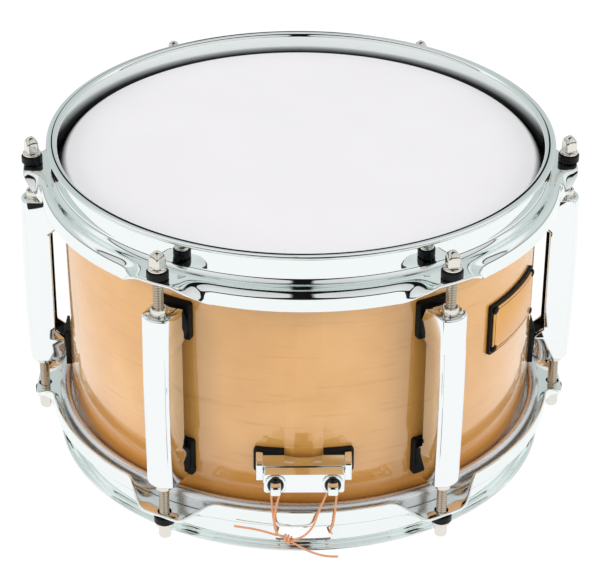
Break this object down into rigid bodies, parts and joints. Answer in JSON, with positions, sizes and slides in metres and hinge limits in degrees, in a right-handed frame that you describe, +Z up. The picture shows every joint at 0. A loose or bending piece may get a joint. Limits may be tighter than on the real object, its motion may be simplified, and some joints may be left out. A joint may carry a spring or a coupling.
{
  "type": "piccolo snare drum",
  "caption": "Small maple snare drum with flanged steel hoops, double-ended bridge lugs, tension rods, a snare butt plate with knotted cord, and a throw-off strainer",
  "frame": {"origin": "centre of the drum's axis on the plane its lower hoop stands on", "axes": "+Z up along the drum's axis, -Y towards the butt plate, +Y towards the strainer, +X through lug 1"},
  "size_m": [0.2976, 0.2969, 0.1727],
  "materials": {
    "maple": "gloss lacquer",
    "chrome": "polished",
    "nickel": "nickel plate",
    "zinc_steel": "bright steel",
    "aluminium": "satin",
    "coated_film": "coated polyester",
    "clear_film": "clear polyester",
    "nylon": "black nylon",
    "rubber": "black, matte",
    "gilt_plate": "gilt, bare",
    "snare_cord": "twisted cord"
  },
  "bodies": {
    "drum": {"shell": "maple", "vent_grommet": "chrome", "badge_backing": "rubber", "badge_plate": "gilt_plate", "batter_head": "coated_film", "batter_flesh_hoop": "aluminium", "snare_head": "clear_film", "snare_flesh_hoop": "aluminium", "batter_hoop": "chrome", "snare_hoop": "chrome", "lug_1": "chrome", "lug_2": "chrome", "lug_3": "chrome", "lug_4": "chrome", "lug_5": "chrome", "lug_6": "chrome", "batter_washer_1": "nylon", "batter_washer_2": "nylon", "batter_washer_3": "nylon", "batter_washer_4": "nylon", "batter_washer_5": "nylon", "batter_washer_6": "nylon", "snare_washer_1": "nylon", "snare_washer_2": "nylon", "snare_washer_3": "nylon", "snare_washer_4": "nylon", "snare_washer_5": "nylon", "snare_washer_6": "nylon", "butt_gasket": "rubber", "butt_body": "chrome", "butt_clamp_bar": "chrome", "butt_clamp_screw_left": "chrome", "butt_clamp_screw_right": "chrome", "butt_cord": "snare_cord", "strainer_gasket": "rubber", "strainer_base": "chrome", "free_cord_left": "snare_cord", "free_cord_right": "snare_cord", "cord_knot": "snare_cord", "cord_tail_left": "snare_cord", "cord_tail_right": "snare_cord"},
    "batter_tension_1": {"batter_rod_1": "nickel"},
    "batter_tension_2": {"batter_rod_2": "nickel"},
    "batter_tension_3": {"batter_rod_3": "nickel"},
    "batter_tension_4": {"batter_rod_4": "nickel"},
    "batter_tension_5": {"batter_rod_5": "nickel"},
    "batter_tension_6": {"batter_rod_6": "nickel"},
    "snare_tension_1": {"snare_rod_1": "nickel"},
    "snare_tension_2": {"snare_rod_2": "nickel"},
    "snare_tension_3": {"snare_rod_3": "nickel"},
    "snare_tension_4": {"snare_rod_4": "nickel"},
    "snare_tension_5": {"snare_rod_5": "nickel"},
    "snare_tension_6": {"snare_rod_6": "nickel"},
    "throw_off_lever": {"strainer_lever": "chrome"},
    "throw_off_slide": {"strainer_slide": "chrome", "strainer_clamp": "chrome", "strainer_cord": "snare_cord"},
    "tension_knob": {"strainer_knob": "chrome"},
    "snares": {"snare_strands": "zinc_steel"}
  },
  "joints": [
    {"name": "batter_rod_1_turn", "type": "hinge", "parent": "drum", "child": "batter_tension_1", "pos_m": [0.1412, 0, 0.1366], "axis": [0, 0, 1], "continuous": true},
    {"name": "batter_rod_2_turn", "type": "hinge", "parent": "drum", "child": "batter_tension_2", "pos_m": [0.0706, 0.12228, 0.1366], "axis": [0, 0, 1], "continuous": true},
    {"name": "batter_rod_3_turn", "type": "hinge", "parent": "drum", "child": "batter_tension_3", "pos_m": [-0.0706, 0.12228, 0.1366], "axis": [0, 0, 1], "continuous": true},
    {"name": "batter_rod_4_turn", "type": "hinge", "parent": "drum", "child": "batter_tension_4", "pos_m": [-0.1412, 0, 0.1366], "axis": [0, 0, 1], "continuous": true},
    {"name": "batter_rod_5_turn", "type": "hinge", "parent": "drum", "child": "batter_tension_5", "pos_m": [-0.0706, -0.12228, 0.1366], "axis": [0, 0, 1], "continuous": true},
    {"name": "batter_rod_6_turn", "type": "hinge", "parent": "drum", "child": "batter_tension_6", "pos_m": [0.0706, -0.12228, 0.1366], "axis": [0, 0, 1], "continuous": true},
    {"name": "snare_rod_1_turn", "type": "hinge", "parent": "drum", "child": "snare_tension_1", "pos_m": [0.1412, 0, 0.0361], "axis": [0, 0, 1], "continuous": true},
    {"name": "snare_rod_2_turn", "type": "hinge", "parent": "drum", "child": "snare_tension_2", "pos_m": [0.0706, 0.12228, 0.0361], "axis": [0, 0, 1], "continuous": true},
    {"name": "snare_rod_3_turn", "type": "hinge", "parent": "drum", "child": "snare_tension_3", "pos_m": [-0.0706, 0.12228, 0.0361], "axis": [0, 0, 1], "continuous": true},
    {"name": "snare_rod_4_turn", "type": "hinge", "parent": "drum", "child": "snare_tension_4", "pos_m": [-0.1412, 0, 0.0361], "axis": [0, 0, 1], "continuous": true},
    {"name": "snare_rod_5_turn", "type": "hinge", "parent": "drum", "child": "snare_tension_5", "pos_m": [-0.0706, -0.12228, 0.0361], "axis": [0, 0, 1], "continuous": true},
    {"name": "snare_rod_6_turn", "type": "hinge", "parent": "drum", "child": "snare_tension_6", "pos_m": [0.0706, -0.12228, 0.0361], "axis": [0, 0, 1], "continuous": true},
    {"name": "lever_throw", "type": "hinge", "parent": "drum", "child": "throw_off_lever", "pos_m": [-0.017, 0.13695, 0.074], "axis": [0, -1, 0], "range_deg": [0, 90]},
    {"name": "slide_drop", "type": "slide", "parent": "drum", "child": "throw_off_slide", "axis": [0, 0, -1], "range_m": [0, 0.003]},
    {"name": "snares_drop", "type": "hinge", "parent": "drum", "child": "snares", "pos_m": [0, -0.1048, 0.00705], "axis": [-1, 0, 0], "range_deg": [0, 0.83]},
    {"name": "knob_turn", "type": "hinge", "parent": "drum", "child": "tension_knob", "pos_m": [0, 0.1327, 0.1068], "axis": [0, 0, 1], "continuous": true}
  ],
  "couplings": [
    {"joint": "slide_drop", "follows": "lever_throw", "m_per_rad": 0.0019098},
    {"joint": "snares_drop", "follows": "lever_throw", "ratio": 0.009112}
  ]
}
